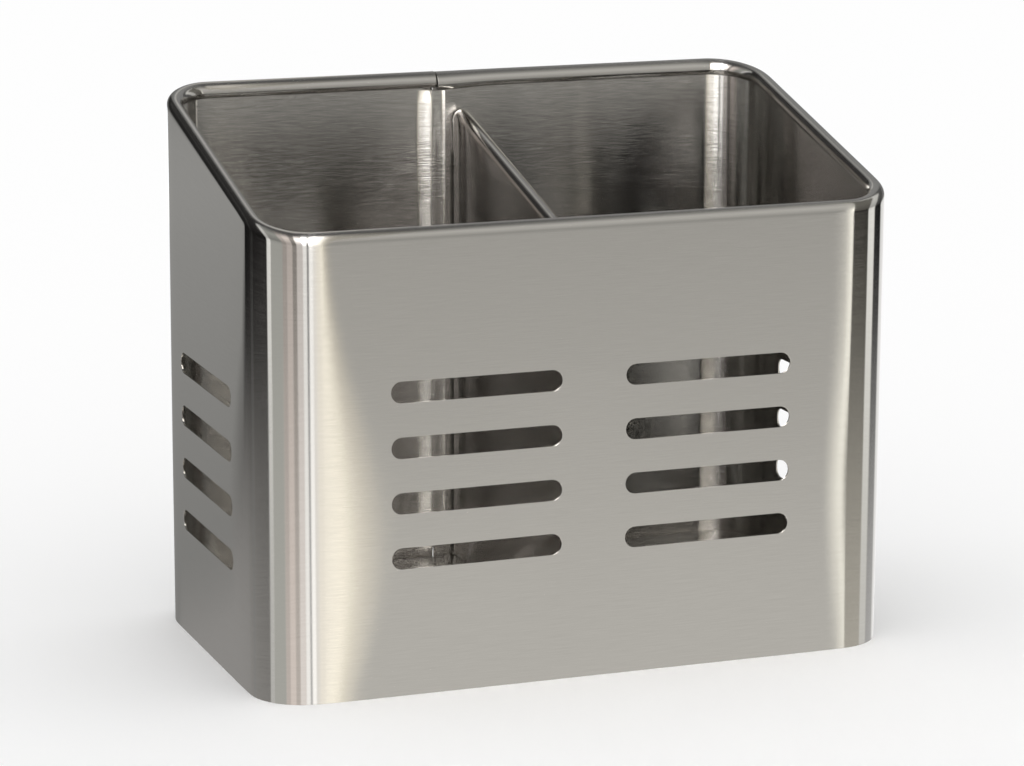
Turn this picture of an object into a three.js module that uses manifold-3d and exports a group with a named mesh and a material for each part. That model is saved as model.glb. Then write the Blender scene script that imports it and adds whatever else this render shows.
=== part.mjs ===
// Two-compartment cutlery holder, welded from thin brushed stainless sheet.
// Millimetres, +Z up, front towards -Y. The origin is in the middle of the standing edge.
import * as THREE from "three";
import { mergeVertices } from "three/addons/utils/BufferGeometryUtils.js";
import Module from "manifold-3d";

const wasm = await Module();
wasm.setup();

// Overall size. Width and depth are over the walls, which the thin sheet crowns outward by about
// half a millimetre between its stiff corners. The rim is one sloping plane, and its two heights
// are the tops of its rolled bead over the front and back walls.
const WIDTH = 181;
const DEPTH = 103;
const FRONT_HEIGHT = 124.5;
const BACK_HEIGHT = 150.5;
const CORNER_RADIUS = 15;
const SHEET = 0.5;
const CORNER_STEPS = 8;

// The rim: the sheet is rolled inward into a hollow bead that stops short of the wall.
const CURL_RADIUS = 2.2;
const CURL_TURN = THREE.MathUtils.degToRad(270);
const CURL_STEPS = 12;

// The lapped seam at the back. The left end steps inward and lies over the right end.
const SEAM_X = -8.6;
const JOG_WIDTH = 4.8;
const JOG_STEPS = 6;
const TONGUE_WIDTH = 4.2;
const BUTT_GAP = 0.3;
const LAP_GAP = 0.1;
const TONGUE_RIM_GAP = 0.4;
const JOG_FLOOR_GAP = 1;
const WELD_RADIUS = 1.2;
const WELD_COUNT = 5;
const WELD_MARGIN = 10;
const WELD_SIDES = 12;

// Round-ended slots: two columns of four in the front, one column of four in each side wall.
const SLOT_HEIGHT = 5.7;
const SLOT_PITCH = 14.8;
const SLOT_ROWS = 4;
const SLOT_ARC_STEPS = 8;
const FRONT_SLOT_LENGTH = 47.5;
const FRONT_SLOT_LOWEST = 37.4;
const FRONT_COLUMN_SPACING = 65.6;
const FRONT_COLUMN_COUNT = 2;
const FRONT_PATTERN_SHIFT = 0.9;
const SIDE_SLOT_LENGTH = 49.2;
const SIDE_SLOT_LOWEST = 32.6;
const SIDE_PATTERN_SHIFT = 2.2;

// The divider: an upright sheet with a rolled top, parallel to the rim, and a welded flange at each end.
const DIVIDER_FACE_X = -2.3;
const DIVIDER_DROP = 11.2;
const DIVIDER_ROLL_RADIUS = 1.7;
const DIVIDER_CORNER = 3;
const FLANGE_WIDTH = 9;
const FLANGE_BEND = 1.5;
const FLANGE_DROP = 12;
const FLANGE_CLIP = 5;
const BEND_STEPS = 4;

// The floor: a shallow upturned tray whose skirt is welded inside the band.
const FLOOR_HEIGHT = 8.4;
const SKIRT_HEIGHT = 7.4;
const DRAIN_RADIUS = 3;
const DRAIN_PITCH = 18;
const DRAIN_COLUMNS = 4;
const DRAIN_ROWS = 5;

// Fits and cuts.
const CLEARANCE = 0.3;
const OVERRUN = 2;

// Places worked out from the sizes above.
const FRONT_Y = -DEPTH / 2;
const BACK_Y = DEPTH / 2;
const INSIDE_Y = BACK_Y - SHEET - CLEARANCE;
const TONGUE_DROP = 2 * CURL_RADIUS + TONGUE_RIM_GAP;
const JOG_BOTTOM = FLOOR_HEIGHT + JOG_FLOOR_GAP;
const DIVIDER_BOTTOM = FLOOR_HEIGHT + CLEARANCE;

const steel = (hex, roughness) =>
  new THREE.MeshStandardMaterial({ color: hex, roughness, metalness: 1, side: THREE.DoubleSide });
const BAND_STEEL = steel(0xb4b0a6, 0.35);
const DIVIDER_STEEL = steel(0xa39e94, 0.4);
const FLOOR_STEEL = steel(0xaaa69c, 0.4);

// Height of the rim plane over a point that lies y behind the middle.
function rimHeight(y) {
  const frontBead = FRONT_Y + CURL_RADIUS;
  const backBead = BACK_Y - CURL_RADIUS;
  return FRONT_HEIGHT + ((BACK_HEIGHT - FRONT_HEIGHT) * (y - frontBead)) / (backBead - frontBead);
}

// Closed body from a geometry whose faces point out. Vertices at one place are merged first.
function solid(geometry) {
  const bare = geometry.index ? geometry.clone() : geometry;
  bare.deleteAttribute("normal");
  bare.deleteAttribute("uv");
  const merged = mergeVertices(bare);
  const positions = Float32Array.from(merged.attributes.position.array);
  const triangles = Uint32Array.from(merged.index.array);
  return new wasm.Manifold(
    new wasm.Mesh({ numProp: 3, vertProperties: positions, triVerts: triangles }),
  );
}

function geometryOf(body) {
  const mesh = body.getMesh();
  const geometry = new THREE.BufferGeometry();
  geometry.setAttribute("position", new THREE.BufferAttribute(mesh.vertProperties, mesh.numProp));
  geometry.setIndex(new THREE.BufferAttribute(mesh.triVerts, 1));
  return geometry;
}

function joined(bodies) {
  return bodies.reduce((whole, body) => whole.add(body));
}

// Points of a sheet outline. n is the distance in from the outer face. A point of fixedPoint keeps
// its height, and one of rimPoint hangs a given drop below the rim plane wherever it lies.
const fixedPoint = (n, z) => ({ n, height: () => z });
const rimPoint = (n, drop) => ({ n, height: (y) => rimHeight(y) - drop });

// Arc of a rolled edge, from where it leaves the wall, over the top and down the inner side.
function rollArc(rollRadius, arcRadius, topDrop) {
  const points = [];
  for (let i = 0; i <= CURL_STEPS; i++) {
    const angle = Math.PI - (CURL_TURN * i) / CURL_STEPS;
    const n = rollRadius + arcRadius * Math.cos(angle);
    const drop = topDrop + rollRadius - arcRadius * Math.sin(angle);
    points.push(rimPoint(n, drop));
  }
  return points;
}

// Outline of a sheet with a rolled top edge, standing on the two given foot points.
function rolledOutline(outerFoot, innerFoot, rollRadius, topDrop) {
  const outside = rollArc(rollRadius, rollRadius, topDrop);
  const inside = rollArc(rollRadius, rollRadius - SHEET, topDrop).reverse();
  return [outerFoot, ...outside, ...inside, innerFoot];
}

const station = (x, y, inwardX, inwardY) => ({ x, y, inwardX, inwardY });

function ringAt(place, outline) {
  return outline.map(({ n, height }) => {
    const y = place.y + place.inwardY * n;
    return new THREE.Vector3(place.x + place.inwardX * n, y, height(y));
  });
}

// Solid that joins one ring of points to the next along a path, capped at both ends.
function loft(stations, outline) {
  const rings = stations.map((place) => ringAt(place, outline));
  const count = outline.length;
  const flat = ringAt(stations[0], outline).map((p, i) => new THREE.Vector2(outline[i].n, p.z));
  const clockwise = THREE.ShapeUtils.isClockWise(flat);
  const cap = THREE.ShapeUtils.triangulateShape(flat, []).map(([a, b, c]) =>
    clockwise ? [a, c, b] : [a, b, c],
  );
  const triangles = [...cap];
  for (let r = 0; r + 1 < rings.length; r++) {
    for (let k = 0; k < count; k++) {
      const a = r * count + k;
      const b = r * count + ((k + 1) % count);
      triangles.push([a, a + count, b], [b, a + count, b + count]);
    }
  }
  const last = (rings.length - 1) * count;
  cap.forEach(([a, b, c]) => triangles.push([last + a, last + c, last + b]));
  return outward(rings.flat(), triangles);
}

// Indexed geometry with its faces turned out, judged by the sign of its volume.
function outward(points, triangles) {
  const volume = triangles.reduce(
    (sum, [a, b, c]) => sum + points[a].dot(points[b].clone().cross(points[c])),
    0,
  );
  const turned = volume < 0 ? triangles.map(([a, b, c]) => [a, c, b]) : triangles;
  const geometry = new THREE.BufferGeometry().setFromPoints(points);
  geometry.setIndex(turned.flat());
  return geometry;
}

// Rectangle with rounded corners, centred on the origin.
function roundedRectangle(width, depth, radius) {
  const [x, y] = [width / 2, depth / 2];
  const shape = new THREE.Shape();
  shape.moveTo(-x + radius, -y);
  shape.lineTo(x - radius, -y);
  shape.absarc(x - radius, -y + radius, radius, -Math.PI / 2, 0, false);
  shape.lineTo(x, y - radius);
  shape.absarc(x - radius, y - radius, radius, 0, Math.PI / 2, false);
  shape.lineTo(-x + radius, y);
  shape.absarc(-x + radius, y - radius, radius, Math.PI / 2, Math.PI, false);
  shape.lineTo(-x, -y + radius);
  shape.absarc(-x + radius, -y + radius, radius, Math.PI, 1.5 * Math.PI, false);
  return shape;
}

const extrude = (shape, depth, curveSegments) =>
  new THREE.ExtrudeGeometry(shape, { depth, bevelEnabled: false, curveSegments });

// Turns a shape drawn in its own X and Y so that they lie along two world axes.
function laid(geometry, along, up, out) {
  return geometry.applyMatrix4(new THREE.Matrix4().makeBasis(along, up, out));
}

const X = new THREE.Vector3(1, 0, 0);
const Y = new THREE.Vector3(0, 1, 0);
const Z = new THREE.Vector3(0, 0, 1);

// Stations along the outer face of the band, clockwise from the seam round to the seam again.
function bandStations(startX, endX) {
  const stations = [station(startX, BACK_Y, 0, -1)];
  const [cx, cy] = [WIDTH / 2 - CORNER_RADIUS, DEPTH / 2 - CORNER_RADIUS];
  const corners = [[cx, cy, 90], [cx, -cy, 0], [-cx, -cy, -90], [-cx, cy, -180]];
  corners.forEach(([x, y, startDegrees]) => {
    for (let i = 0; i <= CORNER_STEPS; i++) {
      const angle = THREE.MathUtils.degToRad(startDegrees) - ((Math.PI / 2) * i) / CORNER_STEPS;
      const [outX, outY] = [Math.cos(angle), Math.sin(angle)];
      stations.push(station(x + CORNER_RADIUS * outX, y + CORNER_RADIUS * outY, -outX, -outY));
    }
  });
  stations.push(station(endX, BACK_Y, 0, -1));
  return stations;
}

// The left end of the band at the seam: a smooth step inward, then the flat tongue.
function tongueStations() {
  const step = SHEET + LAP_GAP;
  const startX = SEAM_X - BUTT_GAP - JOG_WIDTH;
  const stations = [station(startX - JOG_WIDTH, BACK_Y, 0, -1)];
  for (let i = 0; i <= JOG_STEPS; i++) {
    const travel = i / JOG_STEPS;
    const offset = (step * (1 - Math.cos(Math.PI * travel))) / 2;
    stations.push(station(startX + JOG_WIDTH * travel, BACK_Y - offset, 0, -1));
  }
  stations.push(station(SEAM_X + TONGUE_WIDTH, BACK_Y - step, 0, -1));
  return stations;
}

// Short plain lengths above and below the step, which end in a butt joint at the seam.
function seamButts() {
  const path = [SEAM_X - BUTT_GAP - JOG_WIDTH, SEAM_X - BUTT_GAP].map((x) =>
    station(x, BACK_Y, 0, -1),
  );
  const upper = rolledOutline(rimPoint(0, TONGUE_DROP), rimPoint(SHEET, TONGUE_DROP), CURL_RADIUS, 0);
  const lower = [
    fixedPoint(0, 0),
    fixedPoint(0, JOG_BOTTOM),
    fixedPoint(SHEET, JOG_BOTTOM),
    fixedPoint(SHEET, 0),
  ];
  return [solid(loft(path, upper)), solid(loft(path, lower))];
}

// Weld nuggets that tie the tongue to the sheet behind it.
function weldSpots() {
  const length = SHEET + LAP_GAP;
  const first = JOG_BOTTOM + WELD_MARGIN;
  const last = rimHeight(BACK_Y) - TONGUE_DROP - WELD_MARGIN;
  const spots = [];
  for (let i = 0; i < WELD_COUNT; i++) {
    const nugget = new THREE.CylinderGeometry(WELD_RADIUS, WELD_RADIUS, length, WELD_SIDES);
    const z = first + ((last - first) * i) / (WELD_COUNT - 1);
    nugget.translate(SEAM_X + TONGUE_WIDTH / 2, BACK_Y - SHEET / 2 - length / 2, z);
    spots.push(solid(nugget));
  }
  return spots;
}

function slotShape(length) {
  const reach = (length - SLOT_HEIGHT) / 2;
  const radius = SLOT_HEIGHT / 2;
  const shape = new THREE.Shape();
  shape.moveTo(-reach, -radius);
  shape.lineTo(reach, -radius);
  shape.absarc(reach, 0, radius, -Math.PI / 2, Math.PI / 2, false);
  shape.lineTo(-reach, radius);
  shape.absarc(-reach, 0, radius, Math.PI / 2, 1.5 * Math.PI, false);
  return shape;
}

// Cutters for all the slots. A side cutter passes through both side walls at once.
function slotCutters() {
  const cutters = [];
  for (let row = 0; row < SLOT_ROWS; row++) {
    for (let column = 0; column < FRONT_COLUMN_COUNT; column++) {
      const cutter = extrude(slotShape(FRONT_SLOT_LENGTH), SHEET + 2 * OVERRUN, SLOT_ARC_STEPS);
      laid(cutter, X, Z, Y.clone().negate());
      const place = column - (FRONT_COLUMN_COUNT - 1) / 2;
      cutter.translate(
        FRONT_PATTERN_SHIFT + FRONT_COLUMN_SPACING * place,
        FRONT_Y + SHEET + OVERRUN,
        FRONT_SLOT_LOWEST + SLOT_PITCH * row,
      );
      cutters.push(solid(cutter));
    }
    const side = extrude(slotShape(SIDE_SLOT_LENGTH), WIDTH + 2 * OVERRUN, SLOT_ARC_STEPS);
    laid(side, Y, Z, X);
    side.translate(-WIDTH / 2 - OVERRUN, SIDE_PATTERN_SHIFT, SIDE_SLOT_LOWEST + SLOT_PITCH * row);
    cutters.push(solid(side));
  }
  return cutters;
}

function bodyBand() {
  const outline = rolledOutline(fixedPoint(0, 0), fixedPoint(SHEET, 0), CURL_RADIUS, 0);
  const wrap = solid(loft(bandStations(SEAM_X, SEAM_X - BUTT_GAP - JOG_WIDTH), outline));
  const tongue = solid(
    loft(tongueStations(), [
      fixedPoint(0, JOG_BOTTOM),
      rimPoint(0, TONGUE_DROP),
      rimPoint(SHEET, TONGUE_DROP),
      fixedPoint(SHEET, JOG_BOTTOM),
    ]),
  );
  const whole = joined([wrap, tongue, ...seamButts(), ...weldSpots()]);
  return geometryOf(whole.subtract(joined(slotCutters())));
}

// Side view of the divider's panel: rounded top corners, and set back below for the flange bends.
function dividerSide() {
  const top = (y) => rimHeight(y) - DIVIDER_DROP + OVERRUN;
  const edge = (y) => rimHeight(y) - DIVIDER_DROP;
  const flangeTop = (y) => edge(y) - FLANGE_DROP;
  const inner = INSIDE_Y - FLANGE_BEND;
  const shape = new THREE.Shape();
  shape.moveTo(-inner, DIVIDER_BOTTOM - OVERRUN);
  shape.lineTo(inner, DIVIDER_BOTTOM - OVERRUN);
  shape.lineTo(inner, flangeTop(INSIDE_Y));
  shape.lineTo(INSIDE_Y, flangeTop(INSIDE_Y));
  shape.lineTo(INSIDE_Y, edge(INSIDE_Y) - DIVIDER_CORNER);
  shape.quadraticCurveTo(
    INSIDE_Y,
    edge(INSIDE_Y),
    INSIDE_Y - DIVIDER_CORNER,
    edge(INSIDE_Y - DIVIDER_CORNER),
  );
  shape.lineTo(INSIDE_Y - DIVIDER_CORNER, top(INSIDE_Y - DIVIDER_CORNER));
  shape.lineTo(-INSIDE_Y + DIVIDER_CORNER, top(-INSIDE_Y + DIVIDER_CORNER));
  shape.lineTo(-INSIDE_Y + DIVIDER_CORNER, edge(-INSIDE_Y + DIVIDER_CORNER));
  shape.quadraticCurveTo(
    -INSIDE_Y,
    edge(-INSIDE_Y),
    -INSIDE_Y,
    edge(-INSIDE_Y) - DIVIDER_CORNER,
  );
  shape.lineTo(-INSIDE_Y, flangeTop(-INSIDE_Y));
  shape.lineTo(-inner, flangeTop(-INSIDE_Y));
  const slab = extrude(shape, FLANGE_WIDTH + 2 * OVERRUN, BEND_STEPS);
  laid(slab, Y, Z, X);
  return slab.translate(DIVIDER_FACE_X - OVERRUN, 0, 0);
}

// Plan of one end flange: the panel's sheet turned through a right angle to lie on the wall.
// side is 1 at the back wall and -1 at the front wall.
function flange(side) {
  const [reach, bendAt] = [INSIDE_Y, INSIDE_Y - FLANGE_BEND];
  const shape = new THREE.Shape();
  shape.moveTo(0, bendAt - FLANGE_BEND);
  shape.lineTo(SHEET, bendAt - FLANGE_BEND);
  shape.lineTo(SHEET, bendAt);
  shape.absarc(FLANGE_BEND, bendAt, FLANGE_BEND - SHEET, Math.PI, Math.PI / 2, true);
  shape.lineTo(FLANGE_WIDTH, reach - SHEET);
  shape.lineTo(FLANGE_WIDTH, reach);
  shape.lineTo(FLANGE_BEND, reach);
  shape.absarc(FLANGE_BEND, bendAt, FLANGE_BEND, Math.PI / 2, Math.PI, false);
  const top = rimHeight(side * INSIDE_Y) - DIVIDER_DROP - FLANGE_DROP;
  const strip = extrude(shape, top - DIVIDER_BOTTOM, BEND_STEPS);
  if (side < 0) {
    strip.applyMatrix4(new THREE.Matrix4().makeRotationX(Math.PI));
    strip.translate(0, 0, top - DIVIDER_BOTTOM);
  }
  strip.translate(DIVIDER_FACE_X, 0, DIVIDER_BOTTOM);
  return solid(strip).subtract(flangeClip(side, top));
}

// Wedge that clips the free top corner of a flange.
function flangeClip(side, top) {
  const shape = new THREE.Shape();
  const outer = DIVIDER_FACE_X + FLANGE_WIDTH;
  shape.moveTo(outer - FLANGE_CLIP, top);
  shape.lineTo(outer, top - FLANGE_CLIP);
  shape.lineTo(outer + OVERRUN, top - FLANGE_CLIP);
  shape.lineTo(outer + OVERRUN, top + OVERRUN);
  shape.lineTo(outer - FLANGE_CLIP, top + OVERRUN);
  const wedge = extrude(shape, 2 * OVERRUN, BEND_STEPS);
  laid(wedge, X, Z, Y.clone().negate());
  return solid(wedge.translate(0, side * INSIDE_Y + OVERRUN, 0));
}

function divider() {
  const outline = rolledOutline(
    fixedPoint(0, DIVIDER_BOTTOM),
    fixedPoint(SHEET, DIVIDER_BOTTOM),
    DIVIDER_ROLL_RADIUS,
    DIVIDER_DROP,
  );
  const path = [-INSIDE_Y - OVERRUN, INSIDE_Y + OVERRUN].map((y) => station(DIVIDER_FACE_X, y, 1, 0));
  const panel = solid(loft(path, outline)).intersect(solid(dividerSide()));
  return geometryOf(joined([panel, flange(1), flange(-1)]));
}

// Drain holes as a grid of circles in each compartment's half of the floor.
function drainHoles() {
  const holes = [];
  [-1, 1].forEach((side) => {
    for (let column = 0; column < DRAIN_COLUMNS; column++) {
      for (let row = 0; row < DRAIN_ROWS; row++) {
        const x = (side * WIDTH) / 4 + DRAIN_PITCH * (column - (DRAIN_COLUMNS - 1) / 2);
        const y = DRAIN_PITCH * (row - (DRAIN_ROWS - 1) / 2);
        holes.push(new THREE.Path().absarc(x, y, DRAIN_RADIUS, 0, 2 * Math.PI, true));
      }
    }
  });
  return holes;
}

function floorPlate() {
  const inset = SHEET + CLEARANCE;
  const [width, depth] = [WIDTH - 2 * inset, DEPTH - 2 * inset];
  const radius = CORNER_RADIUS - inset;
  const plate = roundedRectangle(width, depth, radius);
  plate.holes = drainHoles();
  const skirt = roundedRectangle(width, depth, radius);
  skirt.holes = [roundedRectangle(width - 2 * SHEET, depth - 2 * SHEET, radius - SHEET)];
  const top = extrude(plate, SHEET, CORNER_STEPS).translate(0, 0, FLOOR_HEIGHT - SHEET);
  const ring = extrude(skirt, SKIRT_HEIGHT - SHEET, CORNER_STEPS);
  ring.translate(0, 0, FLOOR_HEIGHT - SKIRT_HEIGHT);
  return geometryOf(joined([solid(top), solid(ring)]));
}

function named(name, geometry, material) {
  const mesh = new THREE.Mesh(geometry, material);
  mesh.name = name;
  return mesh;
}

const group = new THREE.Group();
group.name = "cutlery_holder";
group.add(named("body_band", bodyBand(), BAND_STEEL));
group.add(named("divider", divider(), DIVIDER_STEEL));
group.add(named("floor_plate", floorPlate(), FLOOR_STEEL));

export default group;
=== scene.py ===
# %% [markdown]
# # A two-compartment cutlery holder in brushed stainless steel
# The holder is three pieces of thin sheet: one long band bent round into four walls, a divider
# welded across the inside, and a pierced floor pressed in from below. The imported model gives the
# sizes and the places. Here each sheet is worked out again as a finer surface, with the small
# bends and marks that thin steel has, and dressed in a brushed finish.

# %% Load the imported model
import math

import bmesh
import bpy
import numpy as np
from mathutils import Matrix, Vector


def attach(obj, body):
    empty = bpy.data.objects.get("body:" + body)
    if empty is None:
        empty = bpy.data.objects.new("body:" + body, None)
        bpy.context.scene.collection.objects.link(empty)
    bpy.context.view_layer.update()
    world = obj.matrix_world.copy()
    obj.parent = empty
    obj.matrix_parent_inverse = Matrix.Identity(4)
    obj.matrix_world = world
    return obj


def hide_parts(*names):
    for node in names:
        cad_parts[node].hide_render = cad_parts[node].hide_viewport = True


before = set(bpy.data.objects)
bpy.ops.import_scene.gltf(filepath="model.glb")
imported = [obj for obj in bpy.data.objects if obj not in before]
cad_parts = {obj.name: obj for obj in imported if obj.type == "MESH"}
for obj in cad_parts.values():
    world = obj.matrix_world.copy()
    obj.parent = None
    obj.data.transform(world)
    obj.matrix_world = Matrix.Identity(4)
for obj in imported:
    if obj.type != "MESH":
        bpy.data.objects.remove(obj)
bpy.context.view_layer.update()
MM = 0.001

# %% [markdown]
# ## The camera
# A long lens looks slightly down at the front left corner, so the left wall is seen at a narrow
# angle. The place and the turn of the camera come from fitting the holder's known edges to the
# picture. A camera is best written as three directions, because a turn given as angles is easily
# applied in the wrong order.

# %% Set up the camera
CAMERA_PLACE = (-350.173, -925.984, 289.373)
YAW, PITCH, ROLL = 0.35846, 0.21835, -0.00355
FOCAL_PIXELS, FRAME_WIDTH = 3667.16, 1024
SENSOR_WIDTH = 36.0


def make_camera():
    """The line of sight is turned by the yaw and lowered by the pitch. The right and down
    directions stand square to it, and the roll turns these two in their own plane."""
    sight = np.array([math.sin(YAW) * math.cos(PITCH), math.cos(YAW) * math.cos(PITCH), -math.sin(PITCH)])
    level = np.array([math.cos(YAW), -math.sin(YAW), 0.0])
    plumb = np.cross(sight, level)
    right = math.cos(ROLL) * level + math.sin(ROLL) * plumb
    down = math.cos(ROLL) * plumb - math.sin(ROLL) * level
    data = bpy.data.cameras.new("product_camera")
    data.sensor_width = SENSOR_WIDTH
    data.lens = FOCAL_PIXELS / FRAME_WIDTH * SENSOR_WIDTH
    data.clip_start, data.clip_end = 0.02, 60.0
    camera = bpy.data.objects.new("product_camera", data)
    turn = Matrix((right, -down, -sight)).transposed().to_4x4()
    camera.matrix_world = Matrix.Translation(Vector(CAMERA_PLACE) * MM) @ turn
    bpy.context.collection.objects.link(camera)
    bpy.context.scene.camera = camera
    return camera


camera = make_camera()
print("lens, millimetres:", round(camera.data.lens, 2))

# %% [markdown]
# ## The band's plan
# Seen from above, the band is a rounded rectangle that starts and ends at a seam in the back wall.
# One number says how far round a point lies, clockwise from the seam. A rounded rectangle is easy
# to write as a core point plus a radius: the core only moves along the straight walls, and the
# direction only turns in the corners, so the curve has no joins to smooth.

# %% Walk round the outside of the band
HALF_WIDTH, HALF_DEPTH, CORNER = 90.0, 51.0, 15.0
SHEET = 0.5
SEAM_X, SEAM_GAP, TONGUE_WIDTH = -8.6, 0.3, 3.5
CORE_X, CORE_Y = HALF_WIDTH - CORNER, HALF_DEPTH - CORNER
ARC = CORNER * math.pi / 2
WALLS = [CORE_X - SEAM_X, 2 * CORE_Y, 2 * CORE_X, 2 * CORE_Y, CORE_X + SEAM_X + TONGUE_WIDTH]
WALL_STARTS = [sum(WALLS[:k]) + k * ARC for k in range(5)]
ARC_STARTS = [WALL_STARTS[k] + WALLS[k] for k in range(4)]
LEFT_END = WALL_STARTS[4] + CORE_X + SEAM_X - SEAM_GAP
RIGHT_WALL, FRONT_WALL, LEFT_WALL = WALL_STARTS[1:4]


def walk(s):
    """Plan point and outward direction at the way s round the band. The angle is a quarter turn
    for each corner passed, the core point adds up the parts of the straight walls passed, and the
    point is core plus radius times direction."""
    passed = [np.clip(s - start, 0, length) for start, length in zip(WALL_STARTS, WALLS)]
    turned = sum(np.clip((s - start) / ARC, 0, 1) for start in ARC_STARTS)
    angle = math.pi / 2 * (1 - turned)
    core_x = SEAM_X + passed[0] - passed[2] + passed[4]
    core_y = CORE_Y - passed[1] + passed[3]
    out_x, out_y = np.cos(angle), np.sin(angle)
    return core_x + CORNER * out_x, core_y + CORNER * out_y, out_x, out_y


print("length of the strip, millimetres:", round(float(LEFT_END), 1))

# %% [markdown]
# ## Crowned walls
# Thin sheet springs back a little beside a bend, so a wall first turns outward by a few degrees
# and then levels off, about half a millimetre out. The eye doesn't see half a millimetre, but a
# mirror does: the edges of the reflections beside a corner bow outward where the rise reaches far
# into the wall. It reaches furthest beside the slots, where the sheet is weak, and hardly at all
# under the stiff rolled rim. Beside the back corners it is steeper and only a few millimetres
# long, and at the left one it goes inward.

# %% Work out the swelling of the walls
FRONT_SETBACK, PANEL_X = 0.36, -2.3
HELD_SHARE, HELD_SPREAD, HELD_TOP, HELD_FADE = 0.9, 20.0, 120.0, 8.0


def rise(
    tilt, more=0.0, least=4.0, extra=0.0, centre=70.0, below=50.0, above=50.0,
    lead=3.0, inset=0.0, hold=1,
):
    """Shape of the swelling beside one corner: tilt in radians and what a bell curve of the height
    adds to it, reach in millimetres and what the bell adds, the bell's middle and its spread below
    and above, the lead inside the arc, where it ends, and how long the tilt holds."""
    return tilt, more, least, extra, centre, below, above, lead, inset, hold


SMALL_RISE = rise(0.030, 0.0, 4.0, 6.0, 70.0, 45.0, 35.0)
LEFT_FRONT = rise(0.0533, 0.0, 2.5, 24.6, 45.0, 43.0, 43.5)
LEFT_SIDE = rise(0.033, 0.0, 4.0, 22.0, 82.0, 60.0, 26.0)
RIGHT_FRONT = rise(0.035, 0.035, 8.5, 2.0, 45.0, 38.0, 36.0)
BACK_RIGHT = rise(0.165, least=0.9, lead=4.2, inset=0.7, hold=2)
BACK_LEFT = rise(-0.085, least=0.6, lead=2.5, inset=1.7, hold=2)
FLUSH = rise(0.0)
# start and end of each wall, clockwise from the seam
CROWN_ENDS = [
    (FLUSH, BACK_RIGHT), (SMALL_RISE, SMALL_RISE), (RIGHT_FRONT, LEFT_FRONT),
    (LEFT_SIDE, SMALL_RISE), (BACK_LEFT, FLUSH),
]


def soft_step(t):
    """Half a cosine wave from 0 to 1."""
    return (1 - np.cos(math.pi * np.clip(t, 0, 1))) / 2


def side_share(s):
    """1 on the two side walls, 0 on the front and back walls, and a soft step in each corner."""
    turns = [soft_step((s - start) / ARC) for start in ARC_STARTS]
    return turns[0] - turns[1] + turns[2] - turns[3]


def swell(u, z, end):
    """Outward distance at u past a corner arc. The slope rises evenly to the tilt over the lead,
    and falls to nothing over the reach as one less a power of the way, and this is its sum."""
    tilt, more, least, extra, centre, below, above, lead, inset, hold = end
    bell = np.exp(-(((z - centre) / np.where(z < centre, below, above)) ** 2))
    reach = least + extra * bell
    up_to = np.clip((u + inset) / lead + 1, 0, 1)
    run = np.clip((u + inset) / reach, 0, 1)
    return (tilt + more * bell) * (lead * up_to**2 / 2 + reach * (run - run ** (hold + 1) / (hold + 1)))


def crown(s, z):
    """How far the wall stands out: on each wall a blend of the swelling from its two ends. The
    front wall is set back a little, and the divider's weld holds its middle in as a bell curve of
    the way s."""
    out = 0.0
    for start, length, (first, last) in zip(WALL_STARTS, WALLS, CROWN_ENDS):
        share = soft_step((s - start) / length)
        out = out + (1 - share) * swell(s - start, z, first) + share * swell(start + length - s, z, last)
    in_front = soft_step((s - ARC_STARTS[1]) / ARC) - soft_step((s - ARC_STARTS[2]) / ARC)
    bell = np.exp(-(((s - (FRONT_WALL + CORE_X - PANEL_X)) / HELD_SPREAD) ** 2))
    held = HELD_SHARE * bell * np.clip((HELD_TOP - z) / HELD_FADE, 0, 1)
    return out - in_front * (FRONT_SETBACK + held * np.maximum(out - FRONT_SETBACK, 0))


print("most that a wall stands out:", round(float(crown(np.array(FRONT_WALL + CORE_X), 46.0)), 3))

# %% [markdown]
# ## The sloping rim and its roll
# The rim is one sloping plane, 124.5 mm high over the front wall and 150.5 mm over the back wall.
# The sheet's top edge is rolled inward through three quarters of a turn, into a hollow bead 4.4 mm
# thick. A roll is a circle carried along the wall: each point of the circle hangs a fixed drop
# below the rim plane, wherever it lies.

# %% Say how high the rim is and how the sheet rolls over
FRONT_TOP, BACK_TOP, CURL, CURL_TURN = 124.5, 150.47, 2.2, math.radians(270)
BEAD_Y = HALF_DEPTH - CURL
FLAT_TOP = FRONT_TOP - CURL
JOINT_EXTRA, JOINT_SPREAD = 0.32, 12.0


def rim_height(y):
    """Height of the rim plane: a straight line in y through the bead tops."""
    return FRONT_TOP + (BACK_TOP - FRONT_TOP) * (y + BEAD_Y) / (2 * BEAD_Y)


def curl_radius(s):
    """The bead is fatter just right of its butt joint, where the weld was ground, and thins out
    as a bell curve of the way s."""
    return CURL + JOINT_EXTRA * np.exp(-((s / JOINT_SPREAD) ** 2))


print("rim over the middle:", rim_height(0.0))

# %% [markdown]
# ## The lapped seam
# The strip's two ends meet in the back wall. The left end steps inward by its own thickness and
# runs on behind the right end as a narrow tongue, which is spot welded. The step has a soft S
# shape and stops short of the rim and of the floor, where the two ends simply butt together.

# %% Shape the step and the tongue
STEP_WIDTH, STEP_DEPTH, STEP_PAST = 5.6, 0.8, 0.3
STEP_LOW, STEP_LOW_SOFT, STEP_TOP, STEP_TOP_SOFT = 9.4, 2.2, 145.8, 1.4
TONGUE_LIFT, TONGUE_LIFT_WIDTH = 0.22, 1.3


def firm_step(t):
    """Step from 0 to 1. Its slope is 1 less the fourth power of the way from the middle, leaned
    towards the end by three tenths of the way. The last two numbers only make it run from 0 to 1."""
    way = np.clip(2 * t - 1, -1, 1)
    return (way - way**5 / 5 + 0.3 * (way**2 / 2 - way**6 / 6) + 0.7) / 1.6


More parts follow.
